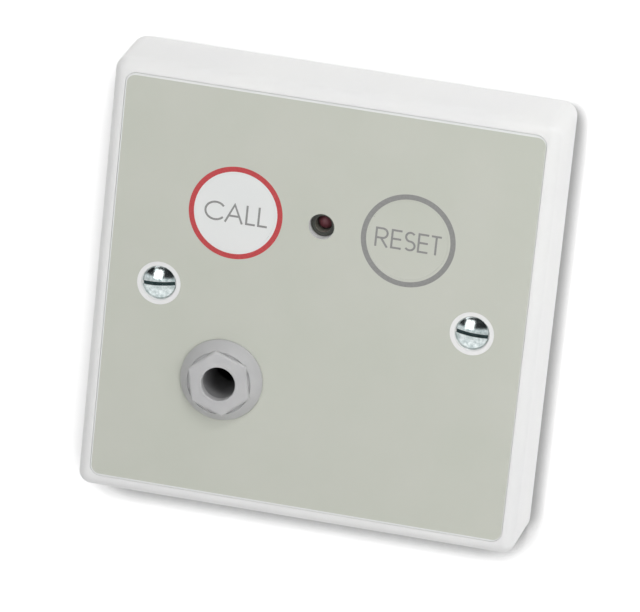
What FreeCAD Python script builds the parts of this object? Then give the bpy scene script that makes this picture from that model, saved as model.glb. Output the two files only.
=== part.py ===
import FreeCAD, Part
import math
import os

from FreeCAD import Vector

# Wall-mounted nurse call point on a single-gang moulded plate.
# The front faces -Y, +Z is up and +X is to the right of someone facing it.
# The origin is on the wall plane, midway between the two fixing screws.
# A depth in this file is counted from the front of the label towards the wall.

# Plate sizes in millimetres
plate_depth = 16.0
rim_half = 42.85
side_draft_deg = 1.3
plate_corner_radius = 2.8
front_edge_radius = 2.2
side_wall = 2.4
face_wall = 2.6
gusset_thickness = 1.2
gusset_reach = 3.6
gusset_height = 6.5
gusset_pitch = 44.0
gusset_row_count = 2

# Printed label film on the front
label_half = 40.0
label_thickness = 0.4
label_corner_radius = 2.0
label_gap = 0.15
label_hole_gap = 0.1

# Fixing screws to the wall box
screw_pitch = 60.3
screw_radius = 1.75
screw_neck_radius = 1.55
screw_thread_setback = 0.3
screw_length = 30.0
screw_head_radius = 3.25
screw_head_sink = 0.4
screw_head_dome = 0.9
screw_crest_radius = 1.6
screw_slot_width = 0.75
screw_slot_depth = 1.15
screw_slot_turn_deg = (6.0, -3.5)
screw_well_radius = 3.4
screw_hole_gap = 0.35
screw_seat_gap = 0.05
screw_collar_radius = 4.2
screw_boss_radius = 4.7
screw_boss_setback = 0.5

# Round press keys, one each side of the lamp
key_row_z = 16.05
call_key_x = -16.9
reset_key_x = 16.2
key_radius = 7.55
key_gap = 0.2
key_front_gap = 0.05
key_disc_thickness = 1.2
key_skirt_depth = 0.8
key_lug_width = 4.0
key_lug_reach = 1.2
key_post_half = 1.6
key_rib_thickness = 1.0
key_pocket_reach = 4.5
key_stop_width = 1.0
key_stop_gap = 0.2
key_stop_height = 1.3
key_stop_reach = 1.4
key_travel = 0.4

# Tactile switch under each key
switch_size = 6.0
switch_body_height = 3.5
switch_total_height = 4.3
switch_cover_thickness = 0.3
switch_stem_radius = 1.75
switch_stem_gap = 0.08
switch_stem_depth = 0.7
switch_floor_gap = 0.4
switch_cover_tab_width = 2.0
switch_cover_tab_drop = 1.4
switch_lead_pitch_z = 4.5
switch_lead_width = 0.7
switch_lead_thickness = 0.3
switch_lead_entry = 1.1
switch_lead_reach = 1.6

# Indicator lamp behind its hole
lamp_x = -0.3
lamp_hole_radius = 2.45
lamp_radius = 1.5
lamp_height = 5.4
lamp_tip_bevel = 0.6
lamp_sleeve_radius = 2.3
lamp_sleeve_gap = 0.1
lamp_sleeve_setback = 1.8
lamp_lead_pitch = 2.54
lamp_lead_side = 0.5

# Circuit board on pillars behind the face
board_standoff = 5.5
board_thickness = 1.6
board_half_width = 24.4
board_top = 30.0
board_bottom = -30.0
board_notch_gap = 0.8
board_edge_inset = 3.3
pillar_half = 2.6
pillar_pilot_depth = 4.9
lower_left_rest_x = -2.8
rest_half_width = 2.2
rest_half_height = 1.2
lead_tail = 1.0

# Self-tapping screws that hold the board
board_screw_radius = 1.25
board_screw_gap = 0.05
board_screw_hole_gap = 0.2
board_screw_length = 5.5
board_screw_head_radius = 2.4
board_screw_head_height = 1.5

# Jack socket for the lead of a hand-held call unit
jack_x = -16.3
jack_z = -16.9
jack_bore_radius = 3.25
jack_bush_radius = 4.75
jack_bush_length = 4.6
jack_hole_gap = 0.15
jack_body_half = 7.7
jack_body_length = 26.0
jack_guide_length = 6.5
jack_cavity_half = 5.7
jack_cover_thickness = 1.2
jack_spigot_depth = 1.2
jack_spigot_gap = 0.1
spring_thickness = 0.4
spring_width = 3.0
spring_slot_gap = 0.1
spring_wall_gap = 0.15
spring_tag_overlap = 2.2
spring_crown_run = 3.0
tip_touch_setback = 4.0
sleeve_touch_depth = 6.0
plug_gap = 0.1

# Flanged cap nut that clamps the jack to the plate
nut_height = 3.2
nut_flange_radius = 7.95
nut_flange_edge = 0.55
nut_cone_top = 2.6
nut_pocket_radius = 6.15
nut_pocket_depth = 0.5
nut_across_flats = 11.3
nut_chamfer = 0.35
nut_nose_thickness = 1.6
nut_thread_gap = 0.05
nut_turn_deg = 11.0

# Three-way screw terminal block on the back of the board
terminal_count = 3
terminal_pitch = 5.0
terminal_block_low_z = 20.4
terminal_block_size_z = 8.0
terminal_block_height = 10.0
terminal_bevel = 1.6
terminal_floor = 1.2
terminal_mouth_half = 1.75
terminal_mouth_height = 3.8
terminal_back_wall = 1.4
clamp_gap = 0.1
clamp_wall = 0.5
clamp_depth_z = 5.0
clamp_foot_half = 0.9
terminal_shaft_half = 1.75
terminal_screw_radius = 1.6
terminal_screw_stand = 2.2

# Control chip on the back of the board
chip_x = 8.5
chip_z = -5.0
chip_length = 4.9
chip_width = 3.9
chip_height = 1.45
chip_standoff = 0.2
chip_lead_count = 4
chip_lead_pitch = 1.27
chip_lead_width = 0.4
chip_lead_thickness = 0.2
chip_lead_knee = 0.35
chip_lead_heel = 0.52
chip_lead_reach = 1.05
chip_notch_radius = 0.5
chip_notch_depth = 0.2

# Smoothing capacitor on the back of the board
capacitor_x = 15.5
capacitor_z = -17.0
capacitor_radius = 3.15
capacitor_height = 5.8
capacitor_base_half = 3.3
capacitor_base_height = 0.9
capacitor_base_bevel = 1.1
capacitor_tab_width = 0.7
capacitor_tab_thickness = 0.2
capacitor_tab_inner = 0.6
capacitor_tab_reach = 0.6

# Chip resistors in a row on the back of the board
resistor_count = 5
resistor_first_x = -3.6
resistor_pitch = 2.9
resistor_z = -16.0
resistor_length = 3.2
resistor_width = 1.6
resistor_height = 0.6
resistor_cap_length = 0.5
resistor_cap_wrap = 0.05

# How far a cut reaches past the surface that it opens
cut_margin = 1.0

# Planes that several pieces share, as Y values
front_y = -plate_depth
label_back_y = front_y + label_thickness
face_back_y = label_back_y + face_wall
board_front_y = face_back_y + board_standoff
board_back_y = board_front_y + board_thickness
front_half = rim_half - plate_depth * math.tan(math.radians(side_draft_deg))
front_corner_radius = plate_corner_radius - (rim_half - front_half)
inner_half = front_half - side_wall

# Places that several pieces share, as (x, z)
screw_places = [(-screw_pitch / 2, 0.0), (screw_pitch / 2, 0.0)]
pillar_x = board_half_width - board_edge_inset
pillar_top_z = board_top - board_edge_inset
pillar_bottom_z = board_bottom + board_edge_inset
pillar_places = [(-pillar_x, pillar_top_z), (pillar_x, pillar_bottom_z)]
rest_places = [(pillar_x, pillar_top_z), (lower_left_rest_x, pillar_bottom_z)]
key_hole_radius = key_radius + key_gap
key_lug_front_y = face_back_y + key_front_gap
key_back_y = key_lug_front_y + key_skirt_depth
switch_top_y = board_front_y - switch_body_height
stem_front_y = board_front_y - switch_total_height
switch_well_depth = switch_stem_depth + key_travel + switch_floor_gap
jack_body_back_y = face_back_y + jack_body_length
jack_cavity_front_y = face_back_y + jack_guide_length
jack_hole_radius = jack_bush_radius + jack_hole_gap
notch_right_x = jack_x + jack_body_half + board_notch_gap
notch_top_z = jack_z + jack_body_half + board_notch_gap
terminal_back_y = board_back_y + terminal_block_height
mouth_front_y = board_back_y + terminal_floor
mouth_back_y = mouth_front_y + terminal_mouth_height


def block(x_low, x_high, y_low, y_high, z_low, z_high):
    corner = Vector(x_low, y_low, z_low)
    return Part.makeBox(x_high - x_low, y_high - y_low, z_high - z_low, corner)


def rod(x, z, radius, y_low, y_high):
    return Part.makeCylinder(radius, y_high - y_low, Vector(x, y_low, z), Vector(0, 1, 0))


def rounded_outline(x_low, x_high, z_low, z_high, radius, y):
    # Straight sides joined by quarter arcs, counted round from the lower right
    corners = [
        (x_high - radius, z_low + radius, -90),
        (x_high - radius, z_high - radius, 0),
        (x_low + radius, z_high - radius, 90),
        (x_low + radius, z_low + radius, 180),
    ]
    arcs = []
    for centre_x, centre_z, start_deg in corners:
        points = []
        for turn in (0, 45, 90):
            angle = math.radians(start_deg + turn)
            x = centre_x + radius * math.cos(angle)
            z = centre_z + radius * math.sin(angle)
            points.append(Vector(x, y, z))
        arcs.append(points)
    edges = []
    for index, points in enumerate(arcs):
        following = arcs[(index + 1) % len(arcs)]
        edges.append(Part.Arc(points[0], points[1], points[2]).toShape())
        edges.append(Part.makeLine(points[2], following[0]))
    return Part.Wire(edges)


def rounded_block(x_low, x_high, y_low, y_high, z_low, z_high, radius):
    outline = rounded_outline(x_low, x_high, z_low, z_high, radius, y_low)
    return Part.Face(outline).extrude(Vector(0, y_high - y_low, 0))


def turned(x, z, profile):
    # Revolve (radius, y) points about the line through (x, z) along Y
    points = [Vector(x + radius, y, z) for radius, y in profile]
    face = Part.Face(Part.makePolygon(points + [points[0]]))
    return face.revolve(Vector(x, 0, z), Vector(0, 1, 0), 360)


def cut_all(shape, tools):
    return shape.cut(Part.Compound(tools))


def fuse_all(shapes):
    joined = shapes[0].multiFuse(shapes[1:])
    return joined.removeSplitter()


def unit(u, v):
    length = math.hypot(u, v)
    if length == 0:
        return (0.0, 0.0)
    return (u / length, v / length)


def thick_path(path, thickness):
    # Give a bent strip its thickness by moving each corner along its mitre
    offsets = []
    for index, (u, v) in enumerate(path):
        before = path[max(index - 1, 0)]
        after = path[min(index + 1, len(path) - 1)]
        into = unit(u - before[0], v - before[1])
        out = unit(after[0] - u, after[1] - v)
        if index == 0:
            into = out
        if index == len(path) - 1:
            out = into
        normal = unit(-(into[1] + out[1]), into[0] + out[0])
        stretch = thickness / (normal[0] * -into[1] + normal[1] * into[0])
        offsets.append((u + normal[0] * stretch, v + normal[1] * stretch))
    return list(path) + offsets[::-1]


def front_plate():
    rim = rounded_outline(-rim_half, rim_half, -rim_half, rim_half, plate_corner_radius, 0)
    front = rounded_outline(
        -front_half, front_half, -front_half, front_half, front_corner_radius, front_y
    )
    shell = Part.makeLoft([rim, front], True, True)
    front_edges = [
        edge for edge in shell.Edges if abs(edge.BoundBox.YMax - front_y) < label_gap
    ]
    shell = shell.makeFillet(front_edge_radius, front_edges)
    shell = shell.cut(plate_hollow())
    additions = [screw_boss(x, z) for x, z in screw_places]
    additions += [board_pillar(x, z) for x, z in pillar_places]
    additions += [board_rest(x, z) for x, z in rest_places]
    additions += gussets()
    additions += key_stops(call_key_x) + key_stops(reset_key_x)
    plate = shell.multiFuse(additions)
    plate = cut_all(plate, [label_recess()] + plate_holes())
    return plate.removeSplitter()


def plate_hollow():
    # The inside has upright walls and square corners
    inner = inner_half
    return block(-inner, inner, face_back_y, 0, -inner, inner)


def screw_boss(x, z):
    return rod(x, z, screw_boss_radius, label_back_y, -screw_boss_setback)


def board_pillar(x, z):
    half = pillar_half
    return block(x - half, x + half, label_back_y, board_front_y, z - half, z + half)


def board_rest(x, z):
    return block(
        x - rest_half_width, x + rest_half_width, label_back_y, board_front_y,
        z - rest_half_height, z + rest_half_height,
    )


def gussets():
    # Small triangular ribs tie each side wall to the face
    wall_y = face_back_y + gusset_height
    inner = inner_half
    ribs = []
    for row in range(gusset_row_count):
        along = (row - (gusset_row_count - 1) / 2) * gusset_pitch
        low = along - gusset_thickness / 2
        points = [
            Vector(inner - gusset_reach, label_back_y, low),
            Vector(inner, label_back_y, low),
            Vector(inner, wall_y, low),
        ]
        face = Part.Face(Part.makePolygon(points + [points[0]]))
        rib = face.extrude(Vector(0, 0, gusset_thickness))
        for quarter in range(4):
            turned_rib = rib.copy()
            turned_rib.rotate(Vector(0, 0, 0), Vector(0, 1, 0), 90 * quarter)
            ribs.append(turned_rib)
    return ribs


def key_stops(x):
    # Two nibs beside the right-hand lug of a key keep the key from turning
    near_x = x + key_hole_radius
    low_z = key_lug_width / 2 + key_stop_gap
    nibs = []
    for row in (-1, 1):
        ends_z = sorted((row * low_z, row * (low_z + key_stop_width)))
        nibs.append(block(
            near_x, near_x + key_stop_reach, label_back_y, face_back_y + key_stop_height,
            key_row_z + ends_z[0], key_row_z + ends_z[1],
        ))
    return nibs


def label_recess():
    half = label_half + label_gap
    radius = label_corner_radius + label_gap
    recess = rounded_block(-half, half, front_y, label_back_y, -half, half, radius)
    collars = [rod(x, z, screw_collar_radius, front_y, label_back_y) for x, z in screw_places]
    return cut_all(recess, collars)


def plate_holes():
    holes = []
    for x, z in screw_places:
        holes.append(screw_well(x, z))
        holes.append(rod(x, z, screw_radius + screw_hole_gap, front_y, 0))
    for x, z in pillar_places:
        pilot_radius = board_screw_radius + board_screw_gap
        holes.append(rod(x, z, pilot_radius, board_front_y - pillar_pilot_depth, board_front_y))
    for x in (call_key_x, reset_key_x):
        holes.append(rod(x, key_row_z, key_hole_radius, front_y, face_back_y))
    holes.append(rod(lamp_x, key_row_z, lamp_hole_radius, front_y, face_back_y))
    holes.append(rod(jack_x, jack_z, jack_hole_radius, front_y, face_back_y))
    return holes


def screw_well(x, z):
    # A round well that ends in the cone on which the screw head seats
    rim_y = front_y + screw_head_sink
    seat_y = rim_y - (screw_well_radius - screw_head_radius - screw_seat_gap)
    drop = screw_well_radius - screw_radius
    return turned(x, z, [
        (0, front_y - cut_margin),
        (screw_well_radius, front_y - cut_margin),
        (screw_well_radius, seat_y),
        (screw_radius, seat_y + drop),
        (0, seat_y + drop),
    ])


def overlay_label():
    film = rounded_block(
        -label_half, label_half, front_y, label_back_y, -label_half, label_half,
        label_corner_radius,
    )
    collar_hole = screw_collar_radius + label_hole_gap
    tools = [rod(x, z, collar_hole, front_y, label_back_y) for x, z in screw_places]
    tools.append(rod(lamp_x, key_row_z, lamp_hole_radius, front_y, label_back_y))
    tools.append(rod(jack_x, jack_z, jack_hole_radius, front_y, label_back_y))
    return cut_all(film, tools)


def fixing_screws():
    screws = []
    for (x, z), turn in zip(screw_places, screw_slot_turn_deg):
        screws.append(fixing_screw(x, z, turn))
    return Part.Compound(screws)


def fixing_screw(x, z, slot_turn):
    # A raised countersunk head with a slot, a plain neck and the threaded length,
    # which starts just short of the wall
    rim_y = front_y + screw_head_sink
    crest_y = rim_y - screw_head_dome
    neck_y = rim_y + screw_head_radius - screw_neck_radius
    thread_y = -screw_thread_setback
    tip_y = rim_y + screw_length
    screw = turned(x, z, [
        (0, crest_y),
        (screw_crest_radius, crest_y),
        (screw_head_radius, rim_y),
        (screw_neck_radius, neck_y),
        (screw_neck_radius, thread_y),
        (screw_radius, thread_y),
        (screw_radius, tip_y),
        (0, tip_y),
    ])
    slot = block(
        x - screw_well_radius, x + screw_well_radius,
        crest_y - cut_margin, crest_y + screw_slot_depth,
        z - screw_slot_width / 2, z + screw_slot_width / 2,
    )
    slot.rotate(Vector(x, 0, z), Vector(0, -1, 0), slot_turn)
    return screw.cut(slot)


def key_plunger(x):
    # A plug with a lug on each side, and four pockets in its back that leave a
    # cross of ribs round the post that presses the switch
    disc_y = label_back_y + key_front_gap
    under_y = disc_y + key_disc_thickness
    plug = rod(x, key_row_z, key_radius, disc_y, key_back_y)
    half_lug = key_lug_width / 2
    lug_x = key_radius + key_lug_reach
    lugs = block(
        x - lug_x, x + lug_x, key_lug_front_y, key_back_y,
        key_row_z - half_lug, key_row_z + half_lug,
    )
    post = block(
        x - key_post_half, x + key_post_half, under_y, stem_front_y,
        key_row_z - key_post_half, key_row_z + key_post_half,
    )
    near = key_rib_thickness / 2
    pocket = block(near, key_pocket_reach, under_y, key_back_y, near, key_pocket_reach)
    pockets = []
    for quarter in range(4):
        turned_pocket = pocket.copy()
        turned_pocket.rotate(Vector(0, 0, 0), Vector(0, 1, 0), 90 * quarter)
        turned_pocket.translate(Vector(x, 0, key_row_z))
        pockets.append(turned_pocket)
    return fuse_all([cut_all(fuse_all([plug, lugs]), pockets), post])


def switch_base(x):
    # The square well under the stem leaves room for its travel
    half = switch_size / 2
    low_y = switch_top_y + switch_cover_thickness
    body = block(x - half, x + half, low_y, board_front_y, key_row_z - half, key_row_z + half)
    hole = switch_stem_radius + switch_stem_gap
    well = block(
        x - hole, x + hole, low_y, low_y + switch_well_depth, key_row_z - hole, key_row_z + hole
    )
    return body.cut(well)


def switch_cover(x):
    # A stamped lid with a clip folded down over the top and bottom sides
    half = switch_size / 2
    outer = half + switch_cover_thickness
    lid_y = switch_top_y + switch_cover_thickness
    lid = block(x - half, x + half, switch_top_y, lid_y, key_row_z - half, key_row_z + half)
    clip_half = switch_cover_tab_width / 2
    clip_y = lid_y + switch_cover_tab_drop
    upper = block(
        x - clip_half, x + clip_half, switch_top_y, clip_y, key_row_z + half, key_row_z + outer
    )
    lower = block(
        x - clip_half, x + clip_half, switch_top_y, clip_y, key_row_z - outer, key_row_z - half
    )
    radius = switch_stem_radius + switch_stem_gap
    opening = rod(x, key_row_z, radius, switch_top_y, lid_y)
    return fuse_all([lid, upper, lower]).cut(opening)


def switch_stem(x):
    end_y = switch_top_y + switch_cover_thickness + switch_stem_depth
    return rod(x, key_row_z, switch_stem_radius, stem_front_y, end_y)


def switch_terminals(x):
    leads = []
    for side in (-1, 1):
        for row in (-1, 1):
            z = key_row_z + row * switch_lead_pitch_z / 2
            leads.append(switch_lead(x, side, z))
    return Part.Compound(leads)


def switch_lead(x, side, z):
    # The lead comes out of the side of the base, turns down and lies on the board
    half = switch_size / 2
    entry_y = board_front_y - switch_lead_entry
    path = [
        (half, entry_y),
        (half + switch_lead_reach / 2, entry_y),
        (half + switch_lead_reach / 2, board_front_y - switch_lead_thickness),
        (half + switch_lead_reach, board_front_y - switch_lead_thickness),
    ]
    outline = thick_path(path, switch_lead_thickness)
    low_z = z - switch_lead_width / 2
    corners = [Vector(x + side * across, y, low_z) for across, y in outline]
    face = Part.Face(Part.makePolygon(corners + [corners[0]]))
    return face.extrude(Vector(0, 0, switch_lead_width))


def indicator_lamp():
    # A round lens with a bevelled tip
    tip_y = board_front_y - lamp_height
    return turned(lamp_x, key_row_z, [
        (0, tip_y),
        (lamp_radius - lamp_tip_bevel, tip_y),
        (lamp_radius, tip_y + lamp_tip_bevel),
        (lamp_radius, board_front_y),
        (0, board_front_y),
    ])


def lamp_sleeve():
    # A dark tube round the lamp that stands on the board and reaches into the plate
    front = front_y + lamp_sleeve_setback
    tube = rod(lamp_x, key_row_z, lamp_sleeve_radius, front, board_front_y)
    return tube.cut(rod(lamp_x, key_row_z, lamp_radius + lamp_sleeve_gap, front, board_front_y))


def lamp_lead_places():
    offset = lamp_lead_pitch / 2
    return [(lamp_x - offset, key_row_z), (lamp_x + offset, key_row_z)]


def lamp_leads():
    half = lamp_lead_side / 2
    leads = []
    for x, z in lamp_lead_places():
        tail_y = board_back_y + lead_tail
        leads.append(block(x - half, x + half, board_front_y, tail_y, z - half, z + half))
    return Part.Compound(leads)


def circuit_board():
    # The lamp's leads are soldered in, so their holes are as large as the leads
    outline = block(
        -board_half_width, board_half_width, board_front_y, board_back_y, board_bottom, board_top
    )
    notch = block(
        -board_half_width - cut_margin, notch_right_x, board_front_y, board_back_y,
        board_bottom - cut_margin, notch_top_z,
    )
    holes = []
    for x, z in pillar_places:
        radius = board_screw_radius + board_screw_hole_gap
        holes.append(rod(x, z, radius, board_front_y, board_back_y))
    holes.append(lamp_leads())
    return cut_all(outline, [notch] + holes)


def board_screws():
    screws = []
    for x, z in pillar_places:
        end_y = board_back_y - board_screw_length
        head_y = board_back_y + board_screw_head_height
        shank = rod(x, z, board_screw_radius, end_y, board_back_y)
        head = rod(x, z, board_screw_head_radius, board_back_y, head_y)
        screws.append(fuse_all([head, shank]))
    return Part.Compound(screws)


def jack_body():
    # A square moulded barrel with a round threaded bush through the plate
    half = jack_body_half
    barrel = block(
        jack_x - half, jack_x + half, face_back_y, jack_body_back_y,
        jack_z - half, jack_z + half,
    )
    bush = rod(jack_x, jack_z, jack_bush_radius, face_back_y - jack_bush_length, face_back_y)
    body = fuse_all([barrel, bush])
    bore = rod(
        jack_x, jack_z, jack_bore_radius, face_back_y - jack_bush_length, jack_cavity_front_y
    )
    inner = jack_cavity_half
    cavity = block(
        jack_x - inner, jack_x + inner, jack_cavity_front_y, jack_body_back_y,
        jack_z - inner, jack_z + inner,
    )
    return cut_all(body, [bore, cavity] + spring_slots())


def spring_slots():
    # One slot through the top wall and one through the right wall
    half = spring_width / 2 + spring_slot_gap
    low_y = board_back_y - spring_slot_gap
    high_y = board_back_y + spring_thickness + spring_slot_gap
    inner = jack_cavity_half - spring_slot_gap
    outer = jack_body_half + cut_margin
    top = block(jack_x - half, jack_x + half, low_y, high_y, jack_z + inner, jack_z + outer)
    right = block(jack_x + inner, jack_x + outer, low_y, high_y, jack_z - half, jack_z + half)
    return [top, right]


def jack_cover():
    # The back lid, with a spigot that plugs the barrel
    half = jack_body_half
    lid_y = jack_body_back_y + jack_cover_thickness
    lid = block(
        jack_x - half, jack_x + half, jack_body_back_y, lid_y, jack_z - half, jack_z + half
    )
    inner = jack_cavity_half - jack_spigot_gap
    spigot = block(
        jack_x - inner, jack_x + inner, jack_body_back_y - jack_spigot_depth, jack_body_back_y,
        jack_z - inner, jack_z + inner,
    )
    return fuse_all([lid, spigot])


def contact_spring(touch_y):
    # A leaf spring drawn as (height above the jack's axis, y): a solder tag on the
    # board, a bend at the barrel wall, a run towards the back and a crown that
    # touches the plug at touch_y
    tag_end = jack_body_half + board_notch_gap + spring_tag_overlap
    run = jack_cavity_half - spring_wall_gap - spring_thickness
    crown = jack_bore_radius + plug_gap
    points = [
        (tag_end, board_back_y),
        (run, board_back_y),
        (run, touch_y - spring_crown_run),
        (crown, touch_y),
        (run - spring_thickness, touch_y + spring_crown_run - spring_thickness),
    ]
    outline = thick_path(points, -spring_thickness)
    corners = [Vector(-spring_width / 2, y, height) for height, y in outline]
    face = Part.Face(Part.makePolygon(corners + [corners[0]]))
    return face.extrude(Vector(spring_width, 0, 0))


def jack_tip_spring():
    spring = contact_spring(jack_body_back_y - jack_spigot_depth - tip_touch_setback)
    spring.translate(Vector(jack_x, 0, jack_z))
    return spring


def jack_sleeve_spring():
    spring = contact_spring(jack_cavity_front_y + sleeve_touch_depth)
    spring.rotate(Vector(0, 0, 0), Vector(0, 1, 0), 90)
    spring.translate(Vector(jack_x, 0, jack_z))
    return spring


def jack_nut():
    # A moulded cap nut: a conical flange with a round pocket, and a hexagon that stands
    # in the pocket, whose corners run into the cone
    nose_y = front_y - nut_height
    edge_y = front_y - nut_flange_edge
    cone_y = front_y - nut_cone_top
    flange = turned(jack_x, jack_z, [
        (0, front_y),
        (nut_flange_radius, front_y),
        (nut_flange_radius, edge_y),
        (nut_pocket_radius, cone_y),
        (0, cone_y),
    ])
    pocket = rod(jack_x, jack_z, nut_pocket_radius, cone_y, cone_y + nut_pocket_depth)
    flange = flange.cut(pocket)
    hexagon = hexagon_prism(nose_y, front_y)
    nose_edges = [edge for edge in hexagon.Edges if edge.BoundBox.YMax < nose_y + nut_chamfer]
    hexagon = hexagon.makeChamfer(nut_chamfer, nose_edges)
    nut = fuse_all([flange, hexagon])
    thread_radius = jack_bush_radius + nut_thread_gap
    thread = rod(jack_x, jack_z, thread_radius, nose_y + nut_nose_thickness, front_y)
    bore = rod(jack_x, jack_z, jack_bore_radius, nose_y, front_y)
    return cut_all(nut, [thread, bore])


def hexagon_prism(y_low, y_high):
    corner_radius = nut_across_flats / math.sqrt(3)
    points = []
    for corner in range(6):
        angle = math.radians(90 + nut_turn_deg + 60 * corner)
        x = jack_x + corner_radius * math.cos(angle)
        z = jack_z + corner_radius * math.sin(angle)
        points.append(Vector(x, y_low, z))
    face = Part.Face(Part.makePolygon(points + [points[0]]))
    return face.extrude(Vector(0, y_high - y_low, 0))


def terminal_centres():
    first = -(terminal_count - 1) / 2 * terminal_pitch
    return [first + index * terminal_pitch for index in range(terminal_count)]


def terminal_mouth_low_z():
    return terminal_block_low_z + terminal_back_wall


def terminal_pin_z():
    return terminal_mouth_low_z() + clamp_gap + clamp_depth_z / 2


def terminal_block():
    half = terminal_count * terminal_pitch / 2
    low_z = terminal_block_low_z
    high_z = low_z + terminal_block_size_z
    points = [
        Vector(-half, board_back_y, low_z),
        Vector(-half, board_back_y, high_z),
        Vector(-half, terminal_back_y - terminal_bevel, high_z),
        Vector(-half, terminal_back_y, high_z - terminal_bevel),
        Vector(-half, terminal_back_y, low_z),
    ]
    face = Part.Face(Part.makePolygon(points + [points[0]]))
    housing = face.extrude(Vector(2 * half, 0, 0))
    tools = []
    for x in terminal_centres():
        mouth = block(
            x - terminal_mouth_half, x + terminal_mouth_half, mouth_front_y, mouth_back_y,
            terminal_mouth_low_z(), high_z,
        )
        tools.append(mouth)
        tools.append(block(
            x - terminal_shaft_half, x + terminal_shaft_half, mouth_back_y, terminal_back_y,
            terminal_pin_z() - terminal_shaft_half, terminal_pin_z() + terminal_shaft_half,
        ))
        hole_half = clamp_foot_half + clamp_gap
        tools.append(block(
            x - hole_half, x + hole_half, board_back_y, mouth_front_y,
            terminal_pin_z() - hole_half, terminal_pin_z() + hole_half,
        ))
    return cut_all(housing, tools)


def terminal_clamps():
    # Metal cages with a window for the wire and a foot soldered to the board
    clamps = []
    half = terminal_mouth_half - clamp_gap
    low_y = mouth_front_y + clamp_gap
    high_y = mouth_back_y - clamp_gap
    low_z = terminal_mouth_low_z() + clamp_gap
    high_z = low_z + clamp_depth_z
    for x in terminal_centres():
        cage = block(x - half, x + half, low_y, high_y, low_z, high_z)
        foot = block(
            x - clamp_foot_half, x + clamp_foot_half, board_back_y, low_y,
            terminal_pin_z() - clamp_foot_half, terminal_pin_z() + clamp_foot_half,
        )
        window = block(
            x - half + clamp_wall, x + half - clamp_wall,
            low_y + clamp_wall, high_y - clamp_wall, low_z, high_z,
        )
        clamps.append(fuse_all([cage, foot]).cut(window))
    return Part.Compound(clamps)


def terminal_screws():
    # Clamping screws, each standing on its cage in a square shaft
    screws = []
    low_y = mouth_back_y - clamp_gap
    for x in terminal_centres():
        z = terminal_pin_z()
        screws.append(rod(x, z, terminal_screw_radius, low_y, low_y + terminal_screw_stand))
    return Part.Compound(screws)


def control_chip():
    low_y = board_back_y + chip_standoff
    high_y = low_y + chip_height
    body = block(
        chip_x - chip_length / 2, chip_x + chip_length / 2, low_y, high_y,
        chip_z - chip_width / 2, chip_z + chip_width / 2,
    )
    mark_x = chip_x - chip_length / 2
    mark = rod(mark_x, chip_z, chip_notch_radius, high_y - chip_notch_depth, high_y)
    return body.cut(mark)


def chip_leads():
    # Gull-wing leads: out of the side of the chip, down, and flat on the board
    middle_y = board_back_y + chip_standoff + chip_height / 2
    side_z = chip_width / 2
    foot_y = board_back_y + chip_lead_thickness
    path = [
        (side_z, middle_y),
        (side_z + chip_lead_knee, middle_y),
        (side_z + chip_lead_heel, foot_y),
        (side_z + chip_lead_reach, foot_y),
    ]
    outline = thick_path(path, -chip_lead_thickness)
    corners = [Vector(-chip_lead_width / 2, y, z) for z, y in outline]
    face = Part.Face(Part.makePolygon(corners + [corners[0]]))
    lead = face.extrude(Vector(chip_lead_width, 0, 0))
    leads = []
    for index in range(chip_lead_count):
        x = chip_x + (index - (chip_lead_count - 1) / 2) * chip_lead_pitch
        for turn in (0, 180):
            copy = lead.copy()
            copy.rotate(Vector(0, 0, 0), Vector(0, 1, 0), turn)
            copy.translate(Vector(x, 0, chip_z))
            leads.append(copy)
    return Part.Compound(leads)


def smoothing_capacitor():
    low_y = board_back_y + capacitor_base_height
    return rod(capacitor_x, capacitor_z, capacitor_radius, low_y, low_y + capacitor_height)


def capacitor_base():
    # A square base with two corners cut off on the positive side
    half = capacitor_base_half
    bevel = capacitor_base_bevel
    places = [
        (-half, -half),
        (half - bevel, -half),
        (half, -half + bevel),
        (half, half - bevel),
        (half - bevel, half),
        (-half, half),
    ]
    points = [Vector(capacitor_x + x, board_back_y, capacitor_z + z) for x, z in places]
    face = Part.Face(Part.makePolygon(points + [points[0]]))
    base = face.extrude(Vector(0, capacitor_base_height, 0))
    return base.cut(capacitor_tabs())


def capacitor_tabs():
    # Two flat tabs lie in the underside of the base and stick out each side
    tabs = []
    half = capacitor_tab_width / 2
    outer = capacitor_base_half + capacitor_tab_reach
    for side in (-1, 1):
        ends = sorted((side * capacitor_tab_inner, side * outer))
        tabs.append(block(
            capacitor_x + ends[0], capacitor_x + ends[1],
            board_back_y, board_back_y + capacitor_tab_thickness,
            capacitor_z - half, capacitor_z + half,
        ))
    return Part.Compound(tabs)


def resistor_places():
    return [resistor_first_x + index * resistor_pitch for index in range(resistor_count)]


def resistor_chips():
    chips = []
    half = resistor_length / 2 - resistor_cap_length
    wrap = resistor_cap_wrap
    for x in resistor_places():
        chips.append(block(
            x - resistor_width / 2 + wrap, x + resistor_width / 2 - wrap,
            board_back_y + wrap, board_back_y + resistor_height - wrap,
            resistor_z - half, resistor_z + half,
        ))
    return Part.Compound(chips)


def resistor_caps():
    caps = []
    outer = resistor_length / 2
    for x in resistor_places():
        for side in (-1, 1):
            ends = sorted((side * (outer - resistor_cap_length), side * outer))
            caps.append(block(
                x - resistor_width / 2, x + resistor_width / 2,
                board_back_y, board_back_y + resistor_height,
                resistor_z + ends[0], resistor_z + ends[1],
            ))
    return Part.Compound(caps)


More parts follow.
